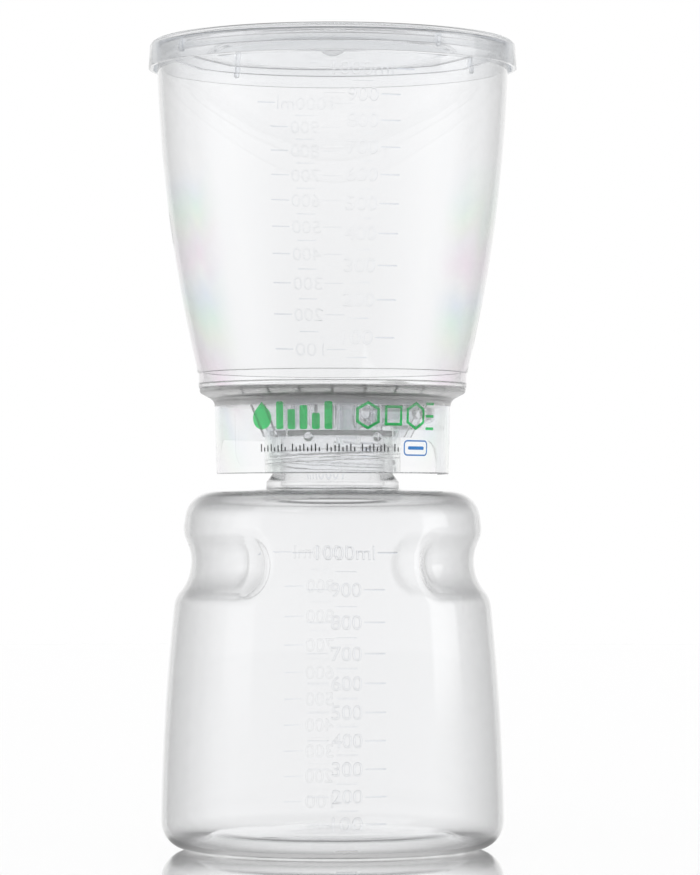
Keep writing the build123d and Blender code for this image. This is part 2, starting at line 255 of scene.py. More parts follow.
def lightStudio():
    world = bpy.data.worlds.new("studio")
    scene.world = world
    world.use_nodes = True
    tree = world.node_tree
    tree.nodes.clear()
    path = addNode(tree, "LightPath").outputs
    level, height = splitPlace(tree, addNode(tree, "TexCoord").outputs["Generated"])
    dome = ramp(tree, height, greys(studio["dome"]))
    backdrop = blendColours(tree, path["Is Camera Ray"], dome, grey(1.0))

    flat = addNode(tree, "VectorMath", {0: level}, operation="NORMALIZE").outputs[0]
    glow = 0.0
    for azimuth, halfWidth, added in studio["strips"]:
        aim = outward(math.radians(azimuth))
        near = addNode(tree, "VectorMath", {0: flat, 1: aim}, operation="DOT_PRODUCT")
        edge = math.cos(math.radians(halfWidth))
        band = eased(tree, near.outputs["Value"], edge, (1 + edge) / 2, added)
        glow = calc(tree, "ADD", glow, band)
    reach = times(tree, eased(tree, height, *studio["stripFoot"]),
                  eased(tree, height, *studio["stripHead"]))
    mirrored = calc(tree, "SUBTRACT", path["Is Glossy Ray"], path["Is Transmission Ray"])
    seen = times(tree, reach, mirrored)
    strength = calc(tree, "MULTIPLY_ADD", glow, seen, 1.0)
    shown = addNode(tree, "Background", {"Color": backdrop, "Strength": strength})

    # what matt surfaces receive through the clear walls is plain light as well
    landed = calc(tree, "GREATER_THAN", path["Diffuse Depth"], 0.5)
    direct = calc(tree, "MAXIMUM", path["Is Camera Ray"], glassOrMirror(tree, path))
    direct = times(tree, direct, calc(tree, "SUBTRACT", 1.0, landed))
    inside = times(tree, landed, path["Is Transmission Ray"])
    strength = calc(tree, "MULTIPLY_ADD", inside, studio["vesselLight"] - studio["plainLight"],
                    studio["plainLight"])
    plain = addNode(tree, "Background", {"Strength": strength})
    mix = addNode(tree, "MixShader", {0: direct, 1: plain.outputs[0], 2: shown.outputs[0]})
    addNode(tree, "OutputWorld", {0: mix.outputs[0]})

    lamp = bpy.data.lights.new("softbox", "AREA")
    lamp.shape = "SQUARE"
    lamp.size = studio["lampSize"]
    lamp.energy = studio["lampPower"]
    box = setOut("softbox", lamp)
    aside = math.radians(studio["lampTurn"])
    box.location = (-studio["lampReach"] * math.sin(aside), -studio["lampNear"] * math.cos(aside),
                    studio["lampReach"])
    middle = (cadLow + cadHigh) / 2
    box.rotation_euler = (middle - box.location).to_track_quat("-Z", "Y").to_euler()


def layTable():
    bpy.ops.mesh.primitive_circle_add(
        vertices=studio["tableSides"], radius=studio["tableRadius"], fill_type="NGON",
        location=(0, 0, -studio["tableDrop"]))
    table = bpy.context.object
    table.name = "table"
    material, tree = newMaterial("polishedTable", {
        "Base Color": studio["tableColour"], "Roughness": studio["tableRoughness"],
        "Emission Color": grey(1.0)})
    path = addNode(tree, "LightPath").outputs
    fill = times(tree, path["Is Camera Ray"], studio["tableFill"])
    feed(tree, {"Emission Strength": fill})
    mirror = addNode(tree, "BsdfGlossy", {"Color": grey(1.0), "Roughness": studio["tableGloss"]})
    polish = ramp(tree, facing(tree), greys(studio["tableMirror"]))
    lacquer = tree.nodes["Principled BSDF"]
    top = addNode(tree, "MixShader", {0: polish, 1: lacquer.outputs[0], 2: mirror.outputs[0]})

    # what glass and mirror rays see of the top: light with a painted shadow under the foot
    where = addNode(tree, "NewGeometry").outputs["Position"]
    away = calc(tree, "DIVIDE", lengthOf(tree, where), studio["tableThroughReach"])
    shade = ramp(tree, away, greys(studio["tableThrough"]))
    aside = calc(tree, "ABSOLUTE", addNode(tree, "SeparateXYZ", {0: where}).outputs["X"])
    aside = calc(tree, "DIVIDE", aside, studio["tableThroughReach"])
    deep = times(tree, ramp(tree, away, greys(studio["tableSideRing"])),
                 ramp(tree, aside, greys(studio["tableSideFrom"])))
    shade = blendColours(tree, deep, shade, grey(studio["tableSideShade"]), "MULTIPLY")
    lit = addNode(tree, "Emission", {"Color": shade})
    through = glassOrMirror(tree, path)
    mix = addNode(tree, "MixShader", {0: through, 1: top.outputs[0], 2: lit.outputs[0]})
    tree.links.new(mix.outputs[0], tree.nodes["Material Output"].inputs[0])
    wear(table, material)


scene.view_settings.view_transform = "Standard"
for limit in ("max_bounces", "transmission_bounces", "glossy_bounces"):
    setattr(scene.cycles, limit, studio["bounces"])
addCamera()
lightStudio()
layTable()
print("studio ready")


# clear mouldings

clear = {
    "ior": 1.58,
    "waves": (28.0, 1.5),    # moulded waviness: how many a metre, and their detail
    "wave": 0.04,
    # painted shade by how steeply a wall is seen: greyer towards its edges, lighter again right at
    # its outline; the funnel's also has painted bright bands part way out to its sides
    "bottleTint": ((0.0, 0.935), (0.20, 0.95), (0.29, 0.915), (0.34, 0.875), (0.40, 0.81),
                   (0.46, 0.77), (0.53, 0.69), (0.66, 0.57), (0.74, 0.45), (0.83, 0.33),
                   (0.90, 0.60), (1.0, 0.95)),
    "funnelTint": ((0.0, 0.949), (0.05, 0.949), (0.13, 0.984), (0.20, 0.996), (0.29, 0.97),
                   (0.34, 0.93), (0.40, 0.88), (0.46, 0.86), (0.53, 0.815), (0.59, 0.745),
                   (0.66, 0.68), (0.74, 0.57), (0.83, 0.445), (0.92, 0.66), (1.0, 0.90)),
    "headTint": ((0.0, 0.955), (0.3, 0.955), (0.5, 0.90), (0.75, 0.80), (0.85, 0.84),
                 (1.0, 0.95)),
    "lidTint": ((0.0, 0.985), (0.3, 0.975), (0.5, 0.88), (0.70, 0.58), (0.84, 0.34),
                (0.90, 0.94), (1.0, 0.98)),
    "cast": (1.003, 1.008),  # a trace more green and blue than red
    "cool": {"lidTint": 0.07, "headTint": 0.04},   # how blue the shades turn
    # faint colours of plastic under stress, from the first fringe down the wall
    "stressTop": 0.240,
    "stressCycles": 24.0,    # per metre of height
    "stressStart": 0.4,      # cycles over which they come in
    "stressFold": 1.5,       # how far the fringes wander
    "stressEdge": (0.27, 0.45),
    "stressSize": (22.0, 22.0, 9.0),
    "stressFlow": (1.0, 1.0, 0.8),   # size, detail and distortion in that space
    "stressColours": ((1.0, 1.0, 1.0), (0.86, 0.93, 1.0), (0.84, 1.0, 0.90), (0.95, 0.99, 0.90),
                      (0.97, 0.93, 0.97), (1.0, 0.88, 0.96)),
}

# places with a finish, or painted shade or light, of their own; a ring is its least and most
# radius, its least and most height, in mm, and mostly a shade
zones = {
    # painted shade: the collar, spout and fins read greyer
    "headRings": ((0.0, 27.5, 145.4, 158.3, (0.91, 0.913, 0.92, 1)),       # collar and spout
                  (0.0, 39.3, 143.0, 158.3, (0.93, 0.933, 0.94, 1))),      # fins
    # the plate is etched, and so is its underside where it rounds into the skirt; there the painted
    # edge shade is left off
    "etchedRings": ((0.0, 60.0, 158.3, 170.0), (39.4, 60.0, 154.6, 170.0)),
    "etchedRoughness": 0.30,
    # painted shade: a greyer dimple, dark lines at the foot of the well's wall and under the crown,
    # and greyer ribs
    "lidRings": ((0.0, 4.3, 275.0, 281.0, (0.76, 0.765, 0.77, 1)),         # dimple
                 (57.9, 59.8, 276.0, 277.3, (0.92, 0.93, 0.95, 1)),        # foot of the well's wall
                 (60.0, 63.9, 280.7, 281.6, (0.46, 0.50, 0.60, 1)),        # under the crown
                 (61.5, 62.7, 275.3, 280.4, (0.84, 0.86, 0.89, 1))),       # ribs
    # painted highlight: the crown's outer round is lit bright and bluish
    "crownRing": (61.8, 64.8, 281.7, 283.0, (0.97, 0.985, 1.0, 1)),        # bright, and bluish
    # the scar of the mould's gate, behind the lid's middle
    "gate": (-6.8 * mm, 27.0 * mm),
    "gateRadius": 1.5 * mm,
    "gateShade": (0.45, 0.46, 0.50, 1),
    # the bottle's floor is left almost without the painted edge shade, so it reads lighter than its
    # side
    "floorEdge": (47.5 * mm, 44.5 * mm),
    "floorTop": 9.5 * mm,
    "floorShade": (0.975, 0.98, 0.985, 1),
    # the bottle's foot and shoulder are wavier than its side
    "waveFoot": (14.0 * mm, 9.0 * mm),
    "waveShoulder": (120.5 * mm, 124.0 * mm),
    "waveMore": 0.12,
    "waveFlow": (32.0, 2.0, 0.6),
}


def inRing(tree, radius, height, ring):
    spans = [calc(tree, "COMPARE", value, (low + high) / 2 * mm, (high - low) / 2 * mm)
             for value, low, high in ((radius, *ring[:2]), (height, *ring[2:4]))]
    return times(tree, *spans)


def darkenRings(tree, radius, height, shade, rings):
    for ring in rings:
        inside = inRing(tree, radius, height, ring)
        shade = blendColours(tree, inside, shade, ring[4], "MULTIPLY")
    return shade


def shadeHeadZones(tree, level, height, shade):
    radius = lengthOf(tree, level)
    etched = calc(tree, "MAXIMUM", *(inRing(tree, radius, height, ring)
                                     for ring in zones["etchedRings"]))
    feed(tree, {"Roughness": times(tree, etched, zones["etchedRoughness"])})
    # painted shade on the collar, spout and fins
    shade = darkenRings(tree, radius, height, shade, zones["headRings"])
    # the etched plate keeps none of the painted edge shade
    return blendColours(tree, etched, shade, grey(1.0))


def shadeLidZones(tree, level, height, shade):
    radius = lengthOf(tree, level)
    # painted shade of the lid's rings
    shade = darkenRings(tree, radius, height, shade, zones["lidRings"])
    ring = zones["crownRing"]
    # painted highlight on the crown's round
    shade = blendColours(tree, inRing(tree, radius, height, ring), shade, ring[4])
    away = addNode(tree, "VectorMath", {0: level, 1: (*zones["gate"], 0)}, operation="DISTANCE")
    inside = calc(tree, "LESS_THAN", away.outputs["Value"], zones["gateRadius"])
    return blendColours(tree, inside, shade, zones["gateShade"], "MULTIPLY")


def shadeBottleZones(tree, level, height, shade):
    outer, inner = zones["floorEdge"]
    low = calc(tree, "LESS_THAN", height, zones["floorTop"])
    inside = addNode(tree, "MapRange", {"Value": lengthOf(tree, level), "From Min": outer,
                                        "From Max": inner})
    floor = times(tree, low, inside.outputs[0])
    # painted edge shade lifted off the floor
    return blendColours(tree, floor, shade, zones["floorShade"])


def moreWaves(tree, where, under):
    height = splitPlace(tree, where)[1]
    ends = [eased(tree, height, *zones[end]) for end in ("waveFoot", "waveShoulder")]
    strength = times(tree, calc(tree, "ADD", *ends), zones["waveMore"])
    return bump(tree, noise(tree, where, *zones["waveFlow"]), strength, mm, under)


def stressFringes(tree, where, slope, shade, amount):
    stretched = addNode(tree, "Mapping", {"Vector": where, "Scale": clear["stressSize"]})
    folds = noise(tree, stretched.outputs[0], *clear["stressFlow"])
    below = calc(tree, "SUBTRACT", clear["stressTop"], splitPlace(tree, where)[1])
    down = times(tree, below, clear["stressCycles"])
    wander = times(tree, calc(tree, "SUBTRACT", folds, 0.5), clear["stressFold"])
    hues = clear["stressColours"]
    stops = [(i / len(hues), (*hue, 1)) for i, hue in enumerate((*hues, hues[0]))]
    fringes = ramp(tree, calc(tree, "FRACT", calc(tree, "ADD", down, wander)), stops)
    nearEdge = ramp(tree, slope, greys(zip(clear["stressEdge"], (0.0, amount))))
    started = addNode(tree, "MapRange", {"Value": down, "From Min": 0.0,
                                         "From Max": clear["stressStart"]})
    share = times(tree, nearEdge, started.outputs[0])
    return blendColours(tree, share, shade, fringes, "MULTIPLY")


def shadeClear(name, edgeShading, stress=0.0, wave=clear["wave"], zoned=None, waveEnds=False):
    # transparent moulding: painted shade greys it towards its edges, faint colours where the
    # plastic is under stress
    material, tree = newMaterial(name, {
        "Transmission Weight": 1.0, "IOR": clear["ior"], "Roughness": 0.0})
    where, slope = objectPlace(tree), facing(tree)
    cool, (green, blue) = clear["cool"].get(edgeShading, 0.0), clear["cast"]
    stops = [(x, (v - cool * (1 - v), v * green - cool * (1 - v) / 2, v * blue, 1))
             for x, v in clear[edgeShading]]
    # painted shade and light by how steeply the surface is seen
    shade = ramp(tree, slope, stops)
    if stress:
        shade = stressFringes(tree, where, slope, shade, stress)
    if zoned:
        shade = zoned(tree, *splitPlace(tree, where), shade)
    # light that a matt surface gets through the walls keeps its strength
    lost = calc(tree, "GREATER_THAN", addNode(tree, "LightPath").outputs["Diffuse Depth"], 0.5)
    shade = blendColours(tree, lost, shade, grey(1.0))
    relieved = bump(tree, noise(tree, where, *clear["waves"]), wave, mm)
    if waveEnds:
        relieved = moreWaves(tree, where, relieved)
    feed(tree, {"Base Color": shade, "Normal": relieved})
    return material


matt = {
    "fineDetail": 4.0,
    "coarseDetail": 2.0,
    "coarser": 40.0,         # mottling, against the grain
    "mottle": 0.93,
    "depth": 0.05 * mm,
    # colour, roughness, grains a metre, and how strong the grain is
    "plug": ((0.36, 0.37, 0.38), 0.95, 4000.0, 0.8),
    "membrane": ((0.93, 0.93, 0.92), 0.9, 6000.0, 0.5),
    "gasket": ((0.74, 0.75, 0.76), 0.45, 900.0, 0.3),
}


def shadeMatt(name, kind, glow=None):
    # a matt surface with fine grain and a little mottling
    colour, roughness, grain, strength = matt[kind]
    material, tree = newMaterial(name, {"Roughness": roughness, **(glow or {})})
    where = objectPlace(tree)
    fine = noise(tree, where, grain, matt["fineDetail"])
    coarse = noise(tree, where, grain / matt["coarser"], matt["coarseDetail"])
    darker = tuple(matt["mottle"] * c for c in colour)
    feed(tree, {"Base Color": blendColours(tree, coarse, (*colour, 1), (*darker, 1)),
                "Normal": bump(tree, fine, strength, matt["depth"])})
    return material


bottlePlastic = shadeClear("clearBottle", "bottleTint", wave=0.06, zoned=shadeBottleZones,
                           waveEnds=True)
headPlastic = shadeClear("clearHead", "headTint", stress=0.6, wave=0.01, zoned=shadeHeadZones)
funnelPlastic = shadeClear("clearFunnel", "funnelTint", stress=1.0)
lidPlastic = shadeClear("clearLid", "lidTint", wave=0.01, zoned=shadeLidZones)
wear(nodes["receiver_bottle"], bottlePlastic)
wear(nodes["filter_base"], headPlastic)
wear(nodes["funnel"], funnelPlastic)
wear(nodes["lid"], lidPlastic)
wear(nodes["port_plug"], shadeMatt("plugFibre", "plug"))
print("clear mouldings dressed")


# walls that marks are laid on, and pieces made of points and faces

beyond = 0.2      # metres from the axis, outside everything


def rayTree(piece):
    mesh = piece.data
    return BVHTree.FromPolygons([v.co for v in mesh.vertices],
                                [p.vertices[:] for p in mesh.polygons])


def outerRadius(walls, azimuth, z):
    return walls.ray_cast(spotAt(azimuth, beyond, z), -outward(azimuth))[0].xy.length


def innerRadius(walls, azimuth, z):
    hit = walls.ray_cast(Vector((0, 0, z)), outward(azimuth))[0]
    return hit.xy.length if hit else 0.0


def placePiece(name, mesh, material, body, slot):
    piece = setOut(name, mesh)
    wear(piece, material)
    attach(piece, body)
    return piece


def newPiece(name, vertices, faces, *dress):
    mesh = bpy.data.meshes.new(name)
    mesh.from_pydata(vertices, [], faces)
    mesh.update()
    return placePiece(name, mesh, *dress)


def pieceFrom(name, work, *dress):
    # a piece from a mesh still being worked on
    bmesh.ops.recalc_face_normals(work, faces=work.faces[:])
    mesh = bpy.data.meshes.new(name)
    work.to_mesh(mesh)
    work.free()
    return placePiece(name, mesh, *dress)


def faceOutward(piece, change=None):
    # turn all faces of the piece outward, and then let change work on its mesh
    work = bmesh.new()
    work.from_mesh(piece.data)
    bmesh.ops.recalc_face_normals(work, faces=work.faces[:])
    if change:
        change(work)
    work.to_mesh(piece.data)
    work.free()


def smoothen(piece, angle=40.0):
    for face in piece.data.polygons:
        face.use_smooth = True
    piece.data.set_sharp_from_angle(angle=math.radians(angle))


# turned shells: finer than the frame's own, so that light bends cleanly in them; their sizes
# are in mm

turning = {
    "columns": 512,
    "bottleColumns": 320,
    "arcStep": 9.0,          # degrees, round the corners
    "onAxis": 1e-4,          # no further out is on the axis
    "smooth": 35.0,          # degrees
}


def circleThrough(first, middle, last):
    (ax, ay), (bx, by), (cx, cy) = first, middle, last
    a, b, c = ax * ax + ay * ay, bx * bx + by * by, cx * cx + cy * cy
    d = 2 * (ax * (by - cy) + bx * (cy - ay) + cx * (ay - by))
    centre = Vector(((a * (by - cy) + b * (cy - ay) + c * (ay - by)) / d,
                     (a * (cx - bx) + b * (ax - cx) + c * (bx - ax)) / d))
    return centre, (Vector(first) - centre).length


def arc(centre, radius, start, end, steps):
    return [centre + radius * Vector((math.cos(start + (end - start) * k / steps),
                                      math.sin(start + (end - start) * k / steps)))
            for k in range(steps + 1)]


def bow(first, middle, last, steps):
    # points on the circle through three points, both ends included
    centre, radius = circleThrough(first, middle, last)
    start, end = (math.atan2(*(Vector(p) - centre).yx) for p in (first, last))
    return arc(centre, radius, start, end, steps)


def rounded(corners):
    # an open or closed run of (r, z, round) corners; bare points, with no round, stay as they are
    points = []
    for k, corner in enumerate(corners):
        here = Vector(corner[:2])
        amount = corner[2] if len(corner) > 2 else 0.0
        if not amount:
            points.append(here)
            continue
        back = (Vector(corners[k - 1][:2]) - here).normalized()
        ahead = (Vector(corners[(k + 1) % len(corners)][:2]) - here).normalized()
        opening = back.angle(ahead)
        centre = here + (back + ahead).normalized() * amount / math.sin(opening / 2)
        start = math.atan2(*(here + back * amount / math.tan(opening / 2) - centre).yx)
        sweep = math.pi - opening
        if back.x * ahead.y - back.y * ahead.x > 0:
            sweep = -sweep
        steps = max(2, round(math.degrees(abs(sweep)) / turning["arcStep"]))
        points += arc(centre, amount, start, start + sweep, steps)
    return points


def turn(name, profile, columns, closed, *dress, places=None):
    # turn a profile of (r, z) points in mm round the axis; an open one starts and ends on the
    # axis, and places says where the points go instead
    onAxis = turning["onAxis"] * mm
    rows = [(max(p.x, 0.0), p.y) for p in (point * mm for point in profile)]
    azimuths = [math.tau * k / columns for k in range(columns)]
    vertices, starts = [], []
    for i, (r, z) in enumerate(rows):
        starts.append(len(vertices))
        if r < onAxis:
            vertices.append(Vector((0, 0, z)))
        elif places is None:
            vertices += [spotAt(azimuth, r, z) for azimuth in azimuths]
        else:
            vertices += [Vector(place) for place in places[i] * mm]
    faces = []
    pairs = list(zip(range(len(rows)), range(1, len(rows))))
    if closed:
        pairs.append((len(rows) - 1, 0))
    for i, j in pairs:
        ring = quads(starts[i], starts[j], columns)
        if rows[i][0] < onAxis:
            ring = [(starts[i], c, d) for a, b, c, d in ring]
        elif rows[j][0] < onAxis:
            ring = [(a, b, starts[j]) for a, b, c, d in ring]
        faces += ring
    piece = newPiece(name, vertices, faces, *dress)
    faceOutward(piece)
    smoothen(piece, turning["smooth"])
    return piece


lidShape = {
    "wall": 1.3, "crown": 1.7, "height": 9.5, "topR": 64.1, "flare": 0.55,
    "round": 2.0, "innerRound": 0.6, "cornerRound": 0.5, "underRound": 0.4,
    "footRounds": (0.1, 0.2), "wellOuterR": 59.5, "wellDepth": 5.8,
    "panelDrop": 2.0, "panel": 1.2, "discR": 43.5, "discDrop": 0.9,
    "dimpleR": 4.15, "dimpleDepth": 1.3, "dimpleSteps": 14,
    # ribs inside the skirt, round at the foot, a hair off its wall
    "ribs": (35.0, 125.0, 215.0, 305.0),
    "ribWidth": 1.7, "ribInnerR": 61.65, "ribSetback": 2.3, "ribHeadGap": 0.8, "ribGap": 0.012,
    "ribSteps": 12, "ribEdge": 0.25, "ribSharp": (1.0, 1.9),   # radians over, and mm under
}


def turnLid():
    n, low = lidShape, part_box("lid")[0].z / mm
    top = low + n["height"]
    ceiling, depth = top - n["crown"], top - n["wellDepth"]
    well, panel = n["wellOuterR"] - n["wall"], top - n["panelDrop"]
    disc, step = panel - n["discDrop"], n["discR"] + n["discDrop"]
    corner, under, (outerFoot, innerFoot) = n["cornerRound"], n["underRound"], n["footRounds"]
    ball = (n["dimpleR"]**2 + n["dimpleDepth"]**2) / (2 * n["dimpleDepth"])
    sweep = math.asin(n["dimpleR"] / ball)

    def dimple(height):
        centre = Vector((0, height - n["dimpleDepth"] + ball))
        return arc(centre, ball, -math.pi / 2, -math.pi / 2 + sweep, n["dimpleSteps"])

    over = [(n["discR"], disc, corner), (step, panel, corner), (well, panel, corner),
            (well, top, n["innerRound"]), (n["topR"], top, n["round"]),
            (n["topR"] + n["flare"], low, outerFoot),
            (n["topR"] + n["flare"] - n["wall"], low, innerFoot),
            (n["topR"] - n["wall"], ceiling, corner), (n["wellOuterR"], ceiling, corner),
            (n["wellOuterR"], depth, under), (well, depth, under),
            (well, panel - n["panel"], under), (step, panel - n["panel"], under),
            (n["discR"], disc - n["panel"], under)]
    start, end = dimple(disc), dimple(disc - n["panel"])[::-1]
    profile = start[:-1] + rounded([tuple(start[-1])] + over + [tuple(end[0])]) + end[1:]
    shell = turn("lid_shell", profile, turning["columns"], False, lidPlastic, "cover",
                 "clear_lid")
    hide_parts("lid")
    mouldRibs(low, ceiling)
    return shell


def bevelRibs(work):
    n = lidShape
    sharp, short = n["ribSharp"]
    rim = [e for e in work.edges
           if e.calc_face_angle() > sharp and e.calc_length() < short * mm]
    bmesh.ops.bevel(work, geom=rim, offset=n["ribEdge"] * mm, segments=3, affect="EDGES",
                    clamp_overlap=True)


def mouldRibs(low, ceiling):
    n = lidShape
    half, foot, head = n["ribWidth"] / 2, low + n["ribSetback"], ceiling - n["ribHeadGap"]
    outline = [(-half, head), (half, head)]
    for k in range(n["ribSteps"] + 1):
        angle = -math.pi * k / n["ribSteps"]
        outline.append((half * math.cos(angle), foot + half + half * math.sin(angle)))
    vertices, faces, count = [], [], len(outline)
    for angle in n["ribs"]:
        way = outward(math.radians(angle))
        across = Vector((-way.y, way.x, 0))
        first = len(vertices)
        for deep in (False, True):
            for x, z in outline:
                wallR = n["topR"] - n["wall"] + n["flare"] * (ceiling - z) / (ceiling - low)
                r = n["ribInnerR"] if deep else wallR - n["ribGap"]
                vertices.append((way * math.sqrt(r * r - x * x) + across * x
                                 + Vector((0, 0, z))) * mm)
        faces += [cap(first, count)[::-1], cap(first + count, count)]
        faces += quads(first, first + count, count)
    ribs = newPiece("lid_ribs", vertices, faces, lidPlastic, "cover", "clear_lid")
    faceOutward(ribs, bevelRibs)
    smoothen(ribs)


funnelShape = {
    "wall": 1.3, "bandR": 47.0, "bandHeight": 5.6, "bandRound": 0.6, "bandInnerR": 45.5,
    "stepDrop": 0.15, "stepRound": 0.1,      # where the side starts over the band
    "ledgeR": 43.2, "ledgeFoot": 0.3, "ledgeTop": 1.7, "ledgeRound": 0.3, "ledgeEdge": 0.22,
    "innerDrop": 0.05, "innerRound": 0.2,
    "baseR": 47.3, "midR": 56.9, "rimR": 61.5, "straight": 11.5, "rimRound": 0.4, "sideSteps": 40,
}


def turnFunnel():
    n, edge = funnelShape, funnelShape["ledgeEdge"]
    low, high = (corner.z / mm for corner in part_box("funnel"))
    band, straight, wall = low + n["bandHeight"], high - n["straight"], n["wall"]
    middle = (band + straight) / 2
    outside = bow((n["baseR"], band), (n["midR"], middle), (n["rimR"], straight), n["sideSteps"])
    inside = bow((n["rimR"] - wall, straight), (n["midR"] - wall, middle),
                 (n["baseR"] - wall, band), n["sideSteps"])
    foot = [(n["bandInnerR"], low), (n["bandR"], low, n["bandRound"]),
            (n["bandR"], band - n["stepDrop"], n["stepRound"]),
            (n["baseR"], band, n["stepRound"]), tuple(outside[1])]
    rim = [tuple(outside[-1]), (n["rimR"], high, n["rimRound"]),
           (n["rimR"] - wall, high, n["rimRound"]), tuple(inside[0])]
    ledge = [tuple(inside[-1]), (n["bandInnerR"], band - n["innerDrop"], n["innerRound"]),
             (n["bandInnerR"], low + n["ledgeTop"], n["ledgeRound"]),
             (n["ledgeR"], low + n["ledgeTop"], edge), (n["ledgeR"], low + n["ledgeFoot"], edge),
             (n["bandInnerR"], low + n["ledgeFoot"]), (n["bandInnerR"], low)]
    profile = (rounded(foot)[1:-1] + outside[1:-1] + rounded(rim) + inside[1:-1]
               + rounded(ledge))
    shell = turn("funnel_shell", profile, turning["columns"], True, funnelPlastic, "head",
                 "clear_funnel")
    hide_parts("funnel")
    return shell


bottleShape = {
    "wall": 1.5, "footR": 60.17, "shoulderR": 50.5, "shoulderZ": 124.7, "bellyR": 57.635,
    "footRound": 10.0, "shoulderRound": 10.0, "cornerSteps": 10,
    "ringR": 45.6, "pushUpR": 40.8, "pushUpRise": 4.4, "pushUpDome": 3.0, "pushUpRound": 7.0,
    "domeSteps": 6,
    "beadR": 23.3, "beadTop": 128.2, "beadRounds": (0.6, 0.5, 0.8), "shoulderRise": 1.0,
    "neckR": 21.2, "neckBase": 130.9, "neckTop": 144.2, "boreR": 18.4, "boreRound": 3.0,
    "lipRound": 0.6, "lipInnerRound": 0.3,
    # grips: round-ended grooves
    "gripSides": (-85.0, 95.0), "gripSweep": 50.0, "gripZ": 100.5, "gripCentreR": 66.1,
    "gripR": 16.5, "gripLip": 7.0, "gripReach": 15.0, "gripHalvings": 34,
    "gripBand": 27.0,        # above and below their middle
    "gripClear": 8.0,        # outside the bead
    # rows of points: close together from just under the grips, and along the thread
    "sideStep": 3.2, "gripStep": 1.0, "gripStart": 24.0, "sideEnd": (0.5, 0.3),
    # screw thread, on the neck's outside
    "threadFrom": 90.0,      # degrees: it starts at the right
    "threadStart": 135.0, "threadPitch": 5.0, "threadTurns": 1.25, "threadDepth": 1.15,
    "threadRoot": 2.2, "threadCrest": 1.0, "threadRunOut": 4.0,
    "threadRows": (1.8, 1.6, 0.2),      # from the neck's foot, to its top, and their step
}


def bottleSide(footR, footZ, bellyR, shoulderR, shoulderZ, neckR, footRound, shoulderRound):
    # from the standing plane up the bowed side and over the shoulder
    n = bottleShape
    centre, radius = circleThrough((footR, footZ), (bellyR, n["shoulderZ"] / 2),
                                   (shoulderR, shoulderZ))
    z = footZ + footRound
    low = Vector((centre.x + math.sqrt((radius - footRound)**2 - (z - centre.y)**2), z))
    way = Vector((neckR - shoulderR, n["shoulderRise"])).normalized()
    down = Vector((-way.y, way.x))
    start = Vector((shoulderR, shoulderZ)) + down * shoulderRound - centre
    b = start.dot(way)
    c = start.length_squared - (radius - shoulderRound)**2
    high = centre + start + way * (-b - math.sqrt(b * b - c))
    firstAngle = math.atan2(*(low - centre).yx)
    lastAngle = math.atan2(*(high - centre).yx)
    points = arc(low, footRound, -math.pi / 2, firstAngle, n["cornerSteps"])
    z, last = points[-1].y, (centre + radius * Vector((0, math.sin(lastAngle)))).y
    stop, least = n["sideEnd"]
    while z < last - stop:
        z += n["gripStep"] if z > n["gripZ"] - n["gripStart"] else n["sideStep"]
        if z < last - least:
            points.append(Vector((centre.x + math.sqrt(radius**2 - (z - centre.y)**2), z)))
    points += arc(high, shoulderRound, lastAngle, math.atan2(-down.y, -down.x), n["cornerSteps"])
    return points


def pressGrips(points, normals, gripR, lip):
    # move wall points in to where the grips' grooves, with rounded lips, run
    n = bottleShape
    reach = np.zeros(len(points))
    high = np.full(len(points), n["gripReach"])
    for _ in range(n["gripHalvings"]):
        depth = (reach + high) / 2
        at = points - normals * depth[:, None]
        azimuth = np.degrees(np.arctan2(at[:, 0], -at[:, 1]))
        nearest = np.full(len(points), 1e9)
        middle = np.zeros_like(at)
        for side in n["gripSides"]:
            off = np.clip((azimuth - side + 180) % 360 - 180, -n["gripSweep"], n["gripSweep"])
            spot = np.radians(side + off)
            centre = np.stack([n["gripCentreR"] * np.sin(spot), -n["gripCentreR"] * np.cos(spot),
                               np.full(len(points), n["gripZ"])], axis=1)
            away = np.linalg.norm(centre - at, axis=1)
            closer = away < nearest
            nearest = np.where(closer, away, nearest)
            middle = np.where(closer[:, None], centre, middle)
        wall, groove = lip - depth, lip + gripR - nearest
        lean = np.einsum("ij,ij->i", normals, (middle - at) / nearest[:, None])
        rest = np.maximum(1 - lean**2, 1e-3)
        along = (wall - lean * groove) / rest
        across = (groove - lean * wall) / rest
        square = (wall**2 + groove**2 - 2 * wall * groove * lean) / rest
        solid = np.where((along > 0) & (across > 0), np.sqrt(np.maximum(square, 0)),
                         np.maximum(wall, groove)) - lip
        outside = solid > 1e-9
        reach = np.where(outside, depth, reach)
        high = np.where(outside, high, depth)
    return points - normals * high[:, None]


def threadHeight(azimuth, z):
    n = bottleShape
    angle = (azimuth - n["threadFrom"]) % 360.0
    end, height = 360.0 * n["threadTurns"], 0.0
    while angle <= end:
        off = abs(z - n["threadStart"] - n["threadPitch"] * angle / 360.0)
        slope = (n["threadRoot"] - n["threadCrest"]) / 2
        rise = min(1.0, max(0.0, (n["threadRoot"] / 2 - off) / slope))
        share = min(1.0, angle / n["threadRunOut"], (end - angle) / n["threadRunOut"])
        height = max(height, rise * rise * (3 - 2 * rise) * share * n["threadDepth"])
        angle += 360.0
    return height


def bottleFloor(lift, ringR, last):
    n = bottleShape
    points = rounded([(0.0, n["pushUpRise"] + n["pushUpDome"] + lift),
                      (n["pushUpR"], n["pushUpRise"] + lift, n["pushUpRound"]),
                      (ringR, lift, n["pushUpRound"]), tuple(last)])
    steps = n["domeSteps"]
    return [points[0].lerp(points[1], k / steps) for k in range(steps)] + points[1:-1]


